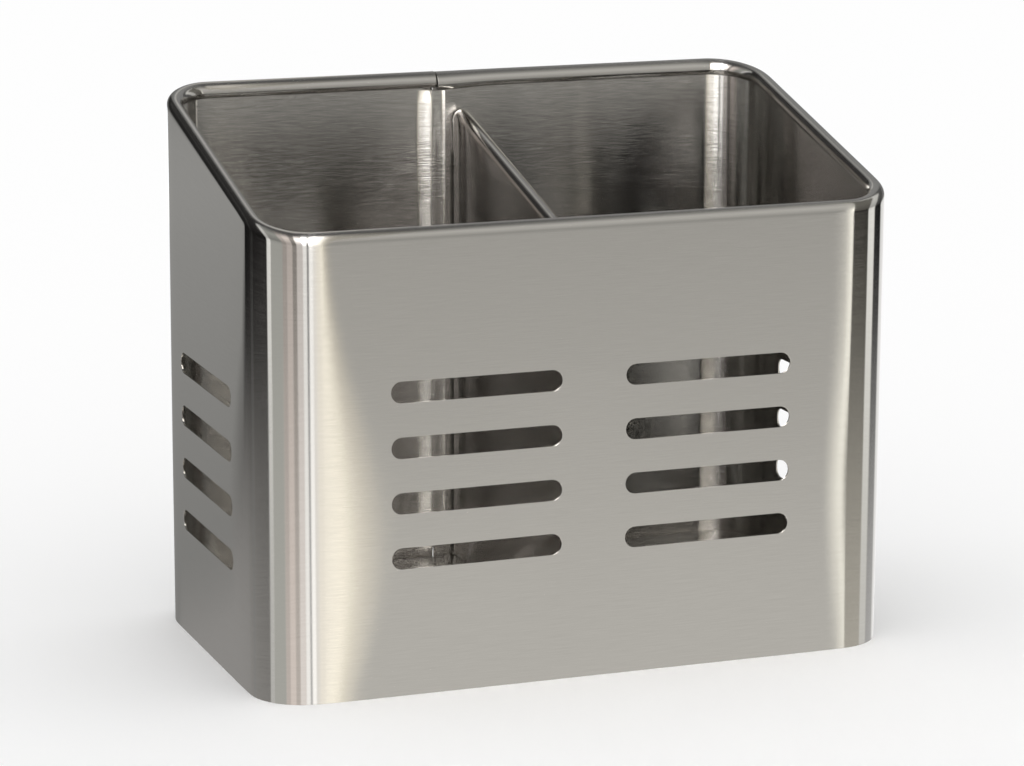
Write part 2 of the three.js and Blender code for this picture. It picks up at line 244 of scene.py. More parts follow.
def seam_step(s, z):
    """How far the sheet is pressed inward near its left end: firm step along the wall times a
    soft window in height. The tongue's free edge springs a little further in."""
    along = firm_step((s - LEFT_END - STEP_PAST) / STEP_WIDTH + 1)
    window = soft_step((z - STEP_LOW) / STEP_LOW_SOFT) * soft_step((STEP_TOP - z) / STEP_TOP_SOFT)
    edge = LEFT_END + SEAM_GAP + TONGUE_WIDTH
    lift = TONGUE_LIFT * np.clip(1 - (edge - s) / TONGUE_LIFT_WIDTH, 0, 1)
    return STEP_DEPTH * along * window + lift


print("step, millimetres wide and deep:", STEP_WIDTH, STEP_DEPTH)

# %% [markdown]
# ## From flat strip to bent band
# The real part is cut flat and then bent, and the mesh is made the same way. A point of the flat
# strip has two numbers, the way s along it and the height up it. One function carries both to
# their place in space. Rows of the strip stay level in the lower part and fan out to the sloping
# rim above, and dip on the side walls, whose slots sit lower than those in front.

# %% Bend the flat strip
FAN_START, SIDE_DIP, DIP_FROM, DIP_TO = 98.0, 4.8, 31.0, 88.0


def bend(s, up):
    """Place in space of a point on the strip. Below the roll its height is the row's own height,
    less the dip, plus the fan's share of the extra height of the rim there. In the roll the angle
    is the way up past the wall divided by the roll's radius."""
    x, y, out_x, out_y = walk(s)
    radius = curl_radius(s)
    wall_top = rim_height(y) - radius
    angle = np.clip((up - FLAT_TOP) / CURL, 0, CURL_TURN)
    row = np.minimum(up, FLAT_TOP)
    dip = SIDE_DIP * side_share(s) * np.clip(row / DIP_FROM, 0, 1)
    dip = dip * np.clip((FAN_START - row) / (FAN_START - DIP_TO), 0, 1)
    fan = np.clip((row - FAN_START) / (FLAT_TOP - FAN_START), 0, 1)
    z = row - dip + (wall_top - FLAT_TOP) * fan
    curled = radius * (1 - np.cos(angle))
    inward = curled + seam_step(s, z) - crown(s, z)
    px, py = x - out_x * inward, y - out_y * inward
    rolled = rim_height(y - out_y * curled) - radius + radius * np.sin(angle)
    pz = np.where(angle > 0, rolled, z)
    return np.stack([px, py, pz], axis=-1)


print("a point of the front wall:", np.round(bend(np.array(FRONT_WALL + 75.0), np.array(60.0)), 2))

# %% [markdown]
# ## A strip with slots
# The strip is a grid. Round each slot a block of cells is left out, and a ring of faces joins the
# block's border to the slot's edge. Every border point has one partner on the slot: the nearest
# point of the slot's middle line, and then the radius outward. So the holes are part of the mesh
# and no Boolean is needed, which keeps the shading clean.

# %% Lay out the slots
SLOT_HEIGHT, SLOT_PITCH, SLOT_ROWS, SLOT_LOWEST = 5.7, 14.8, 4, 37.4
FRONT_LENGTH, SIDE_LENGTH = 47.5, 49.2
MARGIN_ALONG, MARGIN_UP = 1.6, 1.4
FRONT_MIDDLE, FRONT_OFFSET, SIDE_OFFSET = 0.9, 32.8, 2.2
front_centres = [
    FRONT_WALL + CORE_X - x for x in (FRONT_MIDDLE + FRONT_OFFSET, FRONT_MIDDLE - FRONT_OFFSET)
]
side_centres = [RIGHT_WALL + CORE_Y - SIDE_OFFSET, LEFT_WALL + CORE_Y + SIDE_OFFSET]
columns_of_slots = sorted(
    [(centre, FRONT_LENGTH) for centre in front_centres]
    + [(centre, SIDE_LENGTH) for centre in side_centres]
)
slots = [
    (centre, SLOT_LOWEST + SLOT_PITCH * row, length)
    for centre, length in columns_of_slots
    for row in range(SLOT_ROWS)
]
print("slots:", len(slots))


# %% Choose the grid lines
BESIDE_SEAM, TONGUE_FLAT, HAIR = 14.0, 2.5, 0.01


def lines(stops):
    """Rising list of values. Each stop is a value and the number of even cells up to the next."""
    parts = [np.linspace(a, b, n, endpoint=False) for (a, n), (b, _) in zip(stops, stops[1:])]
    return np.concatenate(parts + [[stops[-1][0]]])


def slot_stops(centre, length, after=4):
    """Fine cells beside the round ends of a column of slots and coarse ones along the middle."""
    half, reach = length / 2 + MARGIN_ALONG, (length - SLOT_HEIGHT) / 2
    return [(centre - half, 4), (centre - reach, 16), (centre + reach, 4), (centre + half, after)]


along_stops = [(0.0, 10), (BESIDE_SEAM, 16), (ARC_STARTS[0], 24), (RIGHT_WALL, 6)]
along_stops += slot_stops(*columns_of_slots[0]) + [(ARC_STARTS[1], 24), (FRONT_WALL, 8)]
along_stops += slot_stops(*columns_of_slots[1]) + slot_stops(*columns_of_slots[2], after=12)
along_stops += [(ARC_STARTS[2], 24), (LEFT_WALL, 4)] + slot_stops(*columns_of_slots[3])
along_stops += [(ARC_STARTS[3], 24), (WALL_STARTS[4], 14)]
along_stops += [(LEFT_END + STEP_PAST - STEP_WIDTH, 12), (LEFT_END, 3)]
along_stops += [(LEFT_END + SEAM_GAP + TONGUE_FLAT, 4), (LEFT_END + SEAM_GAP + TONGUE_WIDTH, 0)]
along = lines(along_stops)

up_stops = [(0.0, 4), (STEP_LOW, 5), (STEP_LOW + STEP_LOW_SOFT, 6)]
for row in range(SLOT_ROWS):
    middle, half = SLOT_LOWEST + SLOT_PITCH * row, SLOT_HEIGHT / 2 + MARGIN_UP
    up_stops += [(middle - half, 6), (middle + half, 3)]
back_fan = (FLAT_TOP - FAN_START) / (BACK_TOP - CURL - FAN_START)
step_top = FAN_START + (STEP_TOP - FAN_START) * back_fan
step_full = FAN_START + (STEP_TOP - STEP_TOP_SOFT - FAN_START) * back_fan
up_stops += [(FAN_START, 12), (step_full, 4), (step_top, 2), (FLAT_TOP, 22)]
up_stops += [(FLAT_TOP + CURL * CURL_TURN, 0)]
up = lines(up_stops)
print("grid lines along and up:", len(along), len(up))


# %% Cut the flat strip
def cell_faces(rows, columns, keep):
    """Four corner numbers of every kept cell of a grid whose points are numbered row by row."""
    j, i = np.nonzero(keep)
    first = j * columns + i
    return np.stack([first, first + columns, first + columns + 1, first + 1], axis=-1)


def whole_grid(row_lines, column_lines):
    """Faces of a grid that keeps every cell."""
    rows, columns = len(row_lines), len(column_lines)
    return cell_faces(rows, columns, np.ones((rows - 1, columns - 1), dtype=bool))


def block_of(slot):
    """First and last grid line of the block round a slot, along and up."""
    centre, middle, length = slot
    half, tall = length / 2 + MARGIN_ALONG, SLOT_HEIGHT / 2 + MARGIN_UP

    def nearest(values, value):
        return int(np.abs(values - value).argmin())

    return (
        nearest(along, centre - half), nearest(along, centre + half),
        nearest(up, middle - tall), nearest(up, middle + tall),
    )


def border_of(i0, i1, j0, j1, columns):
    """Point numbers once round a block: right along the foot, up, left along the top and down."""
    right, left = np.arange(i0, i1), np.arange(i1, i0, -1)
    upward, downward = np.arange(j0, j1), np.arange(j1, j0, -1)
    return np.concatenate([
        j0 * columns + right, upward * columns + i1, j1 * columns + left, downward * columns + i0,
    ])


def slot_edge(s, z, slot):
    """Partner on the slot's edge of each border point: the nearest point of the middle line plus
    the radius in the direction of the border point."""
    centre, middle, length = slot
    reach = (length - SLOT_HEIGHT) / 2
    on_line = centre + np.clip(s - centre, -reach, reach)
    ds, dz = s - on_line, z - middle
    scale = SLOT_HEIGHT / 2 / np.hypot(ds, dz)
    return on_line + ds * scale, middle + dz * scale


def cut_strip():
    """Flat points (s, up) and faces of the slotted strip, tongue included."""
    rows, columns = len(up), len(along)
    flat_up, flat_s = [grid.ravel() for grid in np.meshgrid(up, along, indexing="ij")]
    keep = np.ones((rows - 1, columns - 1), dtype=bool)
    tongue = along[:-1] > LEFT_END - HAIR
    outside = (up[:-1] < STEP_LOW + STEP_LOW_SOFT - HAIR) | (up[:-1] > step_full - HAIR)
    keep[np.ix_(outside, tongue)] = False
    new_s, new_up, rings, count = [], [], [], rows * columns
    for slot in slots:
        i0, i1, j0, j1 = block_of(slot)
        keep[j0:j1, i0:i1] = False
        border = border_of(i0, i1, j0, j1, columns)
        edge_s, edge_up = slot_edge(flat_s[border], flat_up[border], slot)
        edge = count + np.arange(len(border))
        rings.append(np.stack([border, edge, np.roll(edge, -1), np.roll(border, -1)], axis=-1))
        new_s.append(edge_s)
        new_up.append(edge_up)
        count += len(border)
    faces = np.concatenate([cell_faces(rows, columns, keep)] + rings)
    return np.concatenate([flat_s] + new_s), np.concatenate([flat_up] + new_up), faces


flat_s, flat_up, strip_faces = cut_strip()
print("strip points and faces:", len(flat_s), len(strip_faces))

# %% [markdown]
# ## Sheet metal from a surface
# Each surface gets its thickness from a Solidify modifier, inward from the outer face, and a tiny
# Bevel softens the cut edges, because a real cut edge is never perfectly sharp and catches a line
# of light. The flat pattern's own numbers are kept as a UV map in metres, so that the brushing
# can follow the sheet round every bend as it does on rolled stock.

# %% Turn points and faces into a finished sheet
SOFT_EDGE, MERGE_WITHIN, SHARPEST_BEND = 0.09, 0.002, math.radians(42)


def make_mesh(name, points, faces, pattern):
    """Mesh in metres from points in millimetres, with the flat pattern stored as UV in metres.
    Points that no face uses are left out."""
    used, renumbered = np.unique(faces, return_inverse=True)
    faces = renumbered.reshape(faces.shape)
    mesh = bpy.data.meshes.new(name)
    mesh.from_pydata((points[used] * MM).tolist(), [], faces.tolist())
    layer = mesh.uv_layers.new(name="flat_pattern")
    corners = np.zeros(len(mesh.loops), dtype=np.int32)
    mesh.loops.foreach_get("vertex_index", corners)
    layer.data.foreach_set("uv", (pattern[used][corners] * MM).ravel())
    mesh.polygons.foreach_set("use_smooth", np.ones(len(mesh.polygons), dtype=bool))
    mesh.validate()
    return mesh


def make_sheet(name, points, faces, pattern, merge=False):
    """Object with live Solidify and Bevel modifiers. Thickness grows away from the faces'
    outward side, and merge joins patches along their shared borders first."""
    mesh = make_mesh(name, points, faces, pattern)
    if merge:
        shell = bmesh.new()
        shell.from_mesh(mesh)
        bmesh.ops.remove_doubles(shell, verts=shell.verts, dist=MERGE_WITHIN * MM)
        shell.to_mesh(mesh)
        shell.free()
    sheet = bpy.data.objects.new(name, mesh)
    bpy.context.collection.objects.link(sheet)
    solidify = sheet.modifiers.new("thickness", "SOLIDIFY")
    solidify.thickness = SHEET * MM
    solidify.offset = -1.0
    solidify.use_even_offset = True
    bevel = sheet.modifiers.new("softened_edges", "BEVEL")
    bevel.width = SOFT_EDGE * MM
    bevel.segments = 2
    bevel.limit_method = "ANGLE"
    bevel.angle_limit = SHARPEST_BEND
    bevel.harden_normals = True
    return sheet


band = make_sheet("bent_band", bend(flat_s, flat_up), strip_faces, np.stack([flat_s, flat_up], axis=-1))
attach(band, "root")
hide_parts("body_band")
print("band faces:", len(band.data.polygons))

# %% [markdown]
# ## The divider
# A single sheet stands between the two compartments. Its top edge is rolled like the rim but
# smaller, its top corners are rounded off, and each end is bent through a right angle into a flange
# that is welded flat to the wall. Both flanges turn to the right. The sheet is again one
# function of two numbers: the way along the plan, through bend and flange, and the way up.

# %% Shape the divider
PANEL_DROP, PANEL_ROLL, PANEL_FOOT, PANEL_CORNER = 11.2, 1.7, 8.7, 3.0
PANEL_REACH, FLANGE_BEND, FLANGE_FLAT, FLANGE_DROP = 50.35, 1.5, 7.5, 12.0
PANEL_PATTERN_UP = 200.0
PANEL_STRAIGHT = PANEL_REACH - FLANGE_BEND
BEND_ARC = FLANGE_BEND * math.pi / 2


def panel_top(y):
    """Height where the roll starts: below the rim plane by the drop and the roll's radius, and
    lowered at the ends by a quarter circle that rounds the corner."""
    end = np.clip(PANEL_CORNER - (PANEL_REACH - np.abs(y)), 0, PANEL_CORNER)
    rounding = PANEL_CORNER - np.sqrt(np.maximum(PANEL_CORNER**2 - end**2, 0))
    return rim_height(y) - PANEL_DROP - PANEL_ROLL - rounding


def panel_plan(a, with_flange):
    """Plan point at the way a from the middle. Past the straight part the sheet either runs on, or
    turns through the bend's arc and then runs along the wall."""
    past = np.maximum(np.abs(a) - PANEL_STRAIGHT, 0)
    if not with_flange:
        return np.full_like(a, PANEL_X), a
    turn = np.clip(past / FLANGE_BEND, 0, math.pi / 2)
    x = PANEL_X + FLANGE_BEND * (1 - np.cos(turn)) + np.maximum(past - BEND_ARC, 0)
    y = np.sign(a) * (np.minimum(np.abs(a), PANEL_STRAIGHT) + FLANGE_BEND * np.sin(turn))
    return x, y


def panel_patch(a_lines, t_lines, with_flange=False):
    """Grid patch of the divider. t runs from 0 at the foot to 1 at the top, or at the flange's top
    where there is a flange, and the roll adds its circle on the right-hand side."""
    t, a = [grid.ravel() for grid in np.meshgrid(t_lines, a_lines, indexing="ij")]
    x, y = panel_plan(a, with_flange)
    flange_top = rim_height(np.sign(a) * PANEL_REACH) - PANEL_DROP - FLANGE_DROP
    top = flange_top if with_flange else panel_top(y)
    z = PANEL_FOOT + np.clip(t, 0, 1) * (top - PANEL_FOOT)
    turn = np.clip(t - 1, 0, None) * CURL_TURN
    x = x + PANEL_ROLL * (1 - np.cos(turn))
    z = z + PANEL_ROLL * np.sin(turn)
    pattern = np.stack([a, z + PANEL_PATTERN_UP], axis=-1)
    return np.stack([x, y, z], axis=-1), whole_grid(t_lines, a_lines), pattern


print("divider reach, millimetres:", PANEL_REACH)


# %% Join the divider's patches
def join_patches(patches):
    """Stacks the points of several patches and shifts their face numbers."""
    points, faces, pattern, count = [], [], [], 0
    for part_points, part_faces, part_pattern in patches:
        points.append(part_points)
        faces.append(part_faces + count)
        pattern.append(part_pattern)
        count += len(part_points)
    return np.concatenate(points), np.concatenate(faces), np.concatenate(pattern)


def flange_share(side):
    """How far up the panel's end the flange reaches, as a share of the end's own height."""
    flange_top = rim_height(side * PANEL_REACH) - PANEL_DROP - FLANGE_DROP
    return float((flange_top - PANEL_FOOT) / (panel_top(side * PANEL_STRAIGHT) - PANEL_FOOT))


FINE_END, FLANGE_ROWS, LEAST_ROW = 2.0, 27, 0.004
FLANGE_END = PANEL_STRAIGHT + BEND_ARC + FLANGE_FLAT
panel_rows = lines([(0.0, 26), (1.0, 16), (2.0, 0)])
panel_along = lines([
    (-PANEL_STRAIGHT, 4), (-PANEL_STRAIGHT + FINE_END, 30),
    (PANEL_STRAIGHT - FINE_END, 4), (PANEL_STRAIGHT, 0),
])
patches = [panel_patch(panel_along, panel_rows)]
for side in (-1, 1):
    share = flange_share(side)
    upper = np.concatenate([[share], panel_rows[panel_rows > share + LEAST_ROW]])
    ends = lines([(PANEL_STRAIGHT, 8), (PANEL_REACH, 0)])
    flange = lines([(PANEL_STRAIGHT, 6), (PANEL_STRAIGHT + BEND_ARC, 5), (FLANGE_END, 0)])
    if side < 0:
        ends, flange = -ends[::-1], -flange[::-1]
    patches.append(panel_patch(ends, upper))
    patches.append(panel_patch(flange, np.linspace(0, 1, FLANGE_ROWS), with_flange=True))
panel_points, panel_faces, panel_pattern = join_patches(patches)
divider = make_sheet("divider_panel", panel_points, panel_faces[:, ::-1], panel_pattern, merge=True)
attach(divider, "root")
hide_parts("divider")
print("divider faces:", len(divider.data.polygons))

# %% [markdown]
# ## The floor
# The floor is a shallow tray turned upside down: a plate with drain holes, and a skirt bent down
# all round, which is welded inside the band just above its lower edge. Square cells of the plate
# carry the holes, each joined to its circle by a ring, and the border is one more ring that runs
# out to the rounded outline and on over the bend into the skirt.

# %% Shape the floor tray
FLOOR_TOP, SKIRT_MIDDLE, SKIRT_FOOT, FLOOR_INSET, FLOOR_BEND = 8.4, 4.0, 1.0, 0.85, 1.2
DRAIN_RADIUS, DRAIN_PITCH, DRAIN_COLUMNS, DRAIN_ROWS, SIDE_CELLS = 3.0, 18.0, 4, 5, 8
FIELD_CENTRE, FLOOR_PATTERN_UP = 45.25, 500.0
FIELD_X, FIELD_Y = FIELD_CENTRE + 2 * DRAIN_PITCH, 2.5 * DRAIN_PITCH
drain_x = [
    side * FIELD_CENTRE + DRAIN_PITCH * (k - 1.5) for side in (-1, 1) for k in range(DRAIN_COLUMNS)
]
drain_y = [DRAIN_PITCH * (k - 2) for k in range(DRAIN_ROWS)]
middle_x = np.linspace(2 * DRAIN_PITCH - FIELD_CENTRE, FIELD_CENTRE - 2 * DRAIN_PITCH, SIDE_CELLS + 1)
field_y = np.linspace(-FIELD_Y, FIELD_Y, DRAIN_ROWS * SIDE_CELLS + 1)


def drain_cell(x, y):
    """Ring from a square border to a circle: both are walked once round, and each border point's
    partner lies on the circle in the same direction."""
    side = np.linspace(-1, 1, SIDE_CELLS, endpoint=False)
    one = np.ones(SIDE_CELLS)
    square_x = np.concatenate([side, one, -side, -one])
    square_y = np.concatenate([-one, side, one, -side])
    square = np.stack([square_x, square_y], axis=-1)
    circle = square / np.linalg.norm(square, axis=1, keepdims=True) * DRAIN_RADIUS
    flat = np.concatenate([square * DRAIN_PITCH / 2, circle]) + (x, y)
    count = len(square)
    k = np.arange(count)
    faces = np.stack([k, np.roll(k, -1), np.roll(k, -1) + count, k + count], axis=-1)
    return np.column_stack([flat, np.full(len(flat), FLOOR_TOP)]), faces, flat + (0.0, FLOOR_PATTERN_UP)


def middle_strip():
    """Plain cells between the two fields of holes."""
    y, x = [grid.ravel() for grid in np.meshgrid(field_y, middle_x, indexing="ij")]
    faces = whole_grid(field_y, middle_x)[:, ::-1]
    pattern = np.stack([x, y + FLOOR_PATTERN_UP], axis=-1)
    return np.stack([x, y, np.full_like(x, FLOOR_TOP)], axis=-1), faces, pattern


def floor_border():
    """Rings from the field's rectangle to the outline, over the bend and down the skirt. A border
    point's partner on the outline lies outward from the nearest point of the outline's core."""
    half = DRAIN_PITCH / 2
    over_holes = [np.linspace(x - half, x + half, SIDE_CELLS + 1) for x in drain_x]
    xs, ys = np.unique(np.concatenate(over_holes + [middle_x]).round(4)), field_y
    inner = np.concatenate([
        np.stack([xs[:-1], np.full(len(xs) - 1, -FIELD_Y)], axis=-1),
        np.stack([np.full(len(ys) - 1, FIELD_X), ys[:-1]], axis=-1),
        np.stack([xs[:0:-1], np.full(len(xs) - 1, FIELD_Y)], axis=-1),
        np.stack([np.full(len(ys) - 1, -FIELD_X), ys[:0:-1]], axis=-1),
    ])
    core = np.clip(inner, (-CORE_X, -CORE_Y), (CORE_X, CORE_Y))
    way = inner - core
    out = way / np.linalg.norm(way, axis=1, keepdims=True)
    edge = CORNER - FLOOR_INSET
    turn = np.linspace(0, math.pi / 2, 6)
    reach = np.concatenate([edge - FLOOR_BEND + FLOOR_BEND * np.sin(turn), [edge, edge]])
    height = np.concatenate([FLOOR_TOP - FLOOR_BEND * (1 - np.cos(turn)), [SKIRT_MIDDLE, SKIRT_FOOT]])
    rings = [np.column_stack([inner, np.full(len(inner), FLOOR_TOP)])]
    rings += [np.column_stack([core + out * r, np.full(len(inner), z)]) for r, z in zip(reach, height)]
    points = np.concatenate(rings)
    count, k = len(inner), np.arange(len(inner))
    step = np.stack([k, k + count, np.roll(k, -1) + count, np.roll(k, -1)], axis=-1)
    faces = np.concatenate([step + ring * count for ring in range(len(rings) - 1)])
    return points, faces, points[:, :2] + (0.0, FLOOR_PATTERN_UP)


floor_patches = [drain_cell(x, y) for x in drain_x for y in drain_y] + [middle_strip(), floor_border()]
tray_points, tray_faces, tray_pattern = join_patches(floor_patches)
tray = make_sheet("floor_tray", tray_points, tray_faces, tray_pattern, merge=True)
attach(tray, "root")
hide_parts("floor_plate")
print("floor faces:", len(tray.data.polygons))

# %% [markdown]
# ## Brushed steel
# Brushing leaves thousands of fine grooves that run one way, far narrower than a pixel. Along
# them the surface still mirrors sharply, and across them it scatters light over a wide fan. So
# the shader itself is rather smooth, with strong anisotropy along a direction that it reads from
# the flat pattern's UV map. A bump of very fine, very long noise widens the fan, a little outside
# and much more inside. Two coarser noises make the tone and the shine uneven.

# %% Small helpers for building materials
NOISE_ROUGHNESS = 0.55


def add_node(tree, kind, place=(0, 0), **settings):
    """New node of a kind, with its settings given by name."""
    node = tree.nodes.new(kind)
    node.location = place
    for name, value in settings.items():
        setattr(node, name, value)
    return node


def stretched_noise(tree, source, scale, detail):
    """Noise whose cells are stretched: the pattern's coordinates are scaled before the noise."""
    mapping = add_node(tree, "ShaderNodeMapping")
    mapping.inputs["Scale"].default_value = scale
    tree.links.new(source, mapping.inputs["Vector"])
    noise = add_node(tree, "ShaderNodeTexNoise")
    noise.inputs["Scale"].default_value = 1.0
    noise.inputs["Detail"].default_value = detail
    noise.inputs["Roughness"].default_value = NOISE_ROUGHNESS
    tree.links.new(mapping.outputs["Vector"], noise.inputs["Vector"])
    return noise.outputs["Fac"]


def ranged(tree, source, low, high, from_low=0.3, from_high=0.7):
    """Spreads a value between two levels, clamped at both ends."""
    node = add_node(tree, "ShaderNodeMapRange")
    ends = {"From Min": from_low, "From Max": from_high, "To Min": low, "To Max": high}
    for socket, value in ends.items():
        node.inputs[socket].default_value = value
    tree.links.new(source, node.inputs["Value"])
    return node.outputs["Result"]


# %% Make the brushed finish
# how often the noises repeat in a metre along and across the brushing
BROAD_GRAIN, SCRATCHES_ACROSS = (22.0, 420.0, 1.0), 17000.0
ROLL_GROOVE, BUMP_FILTER = 0.55, 0.02


def brushed_steel(
    name, light, dark, rough_low, rough_high, groove,
    grain=(110.0, 4200.0, 1.0), scratch=160.0, satin=0.0,
):
    """Brushed metal. The tone runs between light and dark with the grain, and the roughness between
    low and high with a broader grain, plus satin on the rolled edge. Groove is the depth of the
    scratches in metres, less on the rolled edge, and scratch says how often they start anew."""
    material = bpy.data.materials.new(name)
    material.use_nodes = True
    tree = material.node_tree
    shader = tree.nodes["Principled BSDF"]
    shader.inputs["Metallic"].default_value = 1.0
    shader.inputs["Anisotropic"].default_value = 1.0
    shader.inputs["Anisotropic Rotation"].default_value = 0.25
    pattern = add_node(tree, "ShaderNodeUVMap", uv_map="flat_pattern").outputs["UV"]
    direction = add_node(tree, "ShaderNodeTangent", direction_type="UV_MAP", uv_map="flat_pattern")
    tree.links.new(direction.outputs["Tangent"], shader.inputs["Tangent"])
    fine = stretched_noise(tree, pattern, grain, detail=2.0)
    broad = stretched_noise(tree, pattern, BROAD_GRAIN, detail=2.0)
    grooves = stretched_noise(tree, pattern, (scratch, SCRATCHES_ACROSS, 1.0), detail=1.0)
    mix = add_node(tree, "ShaderNodeMix", data_type="RGBA")
    mix.inputs["A"].default_value = (*dark, 1.0)
    mix.inputs["B"].default_value = (*light, 1.0)
    tree.links.new(ranged(tree, fine, 0.0, 1.0), mix.inputs["Factor"])
    tree.links.new(mix.outputs["Result"], shader.inputs["Base Color"])
    bump = add_node(tree, "ShaderNodeBump")
    bump.inputs["Strength"].default_value = 1.0
    height = add_node(tree, "ShaderNodeSeparateXYZ")
    tree.links.new(pattern, height.inputs["Vector"])
    roll = FLAT_TOP * MM
    depth = ranged(tree, height.outputs["Y"], groove, ROLL_GROOVE * groove, roll, roll + MM)
    tree.links.new(depth, bump.inputs["Distance"])
    rough = add_node(tree, "ShaderNodeMath", operation="ADD")
    tree.links.new(ranged(tree, broad, rough_low, rough_high), rough.inputs[0])
    tree.links.new(ranged(tree, height.outputs["Y"], 0.0, satin, roll, roll + MM), rough.inputs[1])
    tree.links.new(rough.outputs["Value"], shader.inputs["Roughness"])
    bump.inputs["Filter Width"].default_value = BUMP_FILTER
    tree.links.new(grooves, bump.inputs["Height"])
    tree.links.new(bump.outputs["Normal"], shader.inputs["Normal"])
    return material


band_finish = brushed_steel(
    "brushed_band", light=(0.572, 0.559, 0.534), dark=(0.546, 0.533, 0.508),
    rough_low=0.062, rough_high=0.070, groove=0.000005, scratch=60.0, satin=0.07,
)
inside_finish = brushed_steel(
    "brushed_inside", light=(0.585, 0.571, 0.546), dark=(0.500, 0.488, 0.466),
    rough_low=0.115, rough_high=0.130, groove=0.000022, grain=(150.0, 3300.0, 1.0),
)
DULL_LIGHT, DULL_DARK = (0.560, 0.544, 0.518), (0.490, 0.476, 0.452)
divider_finish = brushed_steel("brushed_divider", DULL_LIGHT, DULL_DARK, 0.12, 0.15, groove=0.00003)
floor_finish = brushed_steel("brushed_floor", DULL_LIGHT, DULL_DARK, 0.16, 0.20, groove=0.00003)
for sheet, finish in ((band, band_finish), (divider, divider_finish), (tray, floor_finish)):
    sheet.data.materials.append(finish)
band.data.materials.append(inside_finish)
band.modifiers["thickness"].material_offset = 1
print("finishes:", band_finish.name, inside_finish.name, divider_finish.name, floor_finish.name)

# %% [markdown]
# ## The floor of the studio and the light
# The holder stands on a plain pale floor under a plain white sky, which gives the softest light
# and a faint shadow. Polished metal mostly shows what stands round it, so a photographer sets
# cards round such an object: white and cream ones for the highlights, grey and dark ones to give
# the corners their contrast. Here the cards are one surface: a wide bowl below the floor, a level
# ring at the floor's height and a dome above. Only reflections see it, so it adds no light and no
# shadow of its own, and the floor is hidden from reflections so that it doesn't cover the bowl.

# %% Lay the pale floor and set the sky
FLOOR_HALF = 8.0


def stage_plane(name, half):
    """Level square at height 0."""
    corners = [(-half, -half, 0.0), (half, -half, 0.0), (half, half, 0.0), (-half, half, 0.0)]
    mesh = bpy.data.meshes.new(name)
    mesh.from_pydata(corners, [], [(0, 1, 2, 3)])
    plane = bpy.data.objects.new(name, mesh)
    bpy.context.collection.objects.link(plane)
    return plane


floor = stage_plane("studio_floor", FLOOR_HALF)
floor_paint = bpy.data.materials.new("pale_floor")
floor_paint.use_nodes = True
paint = floor_paint.node_tree.nodes["Principled BSDF"]
paint.inputs["Base Color"].default_value = (0.99, 0.99, 0.99, 1.0)
paint.inputs["Roughness"].default_value = 1.0
paint.inputs["Specular IOR Level"].default_value = 0.0
floor.data.materials.append(floor_paint)
floor.visible_glossy = False

sky = bpy.data.worlds.new("white_sky")
sky.use_nodes = True
sky.node_tree.nodes["Background"].inputs["Color"].default_value = (1.0, 1.0, 1.0, 1.0)
sky.node_tree.nodes["Background"].inputs["Strength"].default_value = 1.0
bpy.context.scene.world = sky
bpy.context.scene.view_settings.view_transform = "Standard"
print("floor, metres from the middle to the edge:", FLOOR_HALF)

# %% [markdown]
# A camera that looks at the polished corner of the holder sees its whole surroundings squeezed
# into a few millimetres, and each point there mirrors one line of sight. The cards are laid out
# along these lines: a card is a range of bearings of the mirrored sight, where 0 is straight ahead
# of the front wall and the numbers grow to the right. So a card's edge shows as an upright line
# from the foot to the rim. The levels and tints were chosen by comparing renders with the
# picture, so they suit the camera's own view best.

# %% Choose the cards
BOWL, REACH, DOME_TOP, SIGHT_HEIGHT = 1500.0, 650.0, 900.0, 62.0
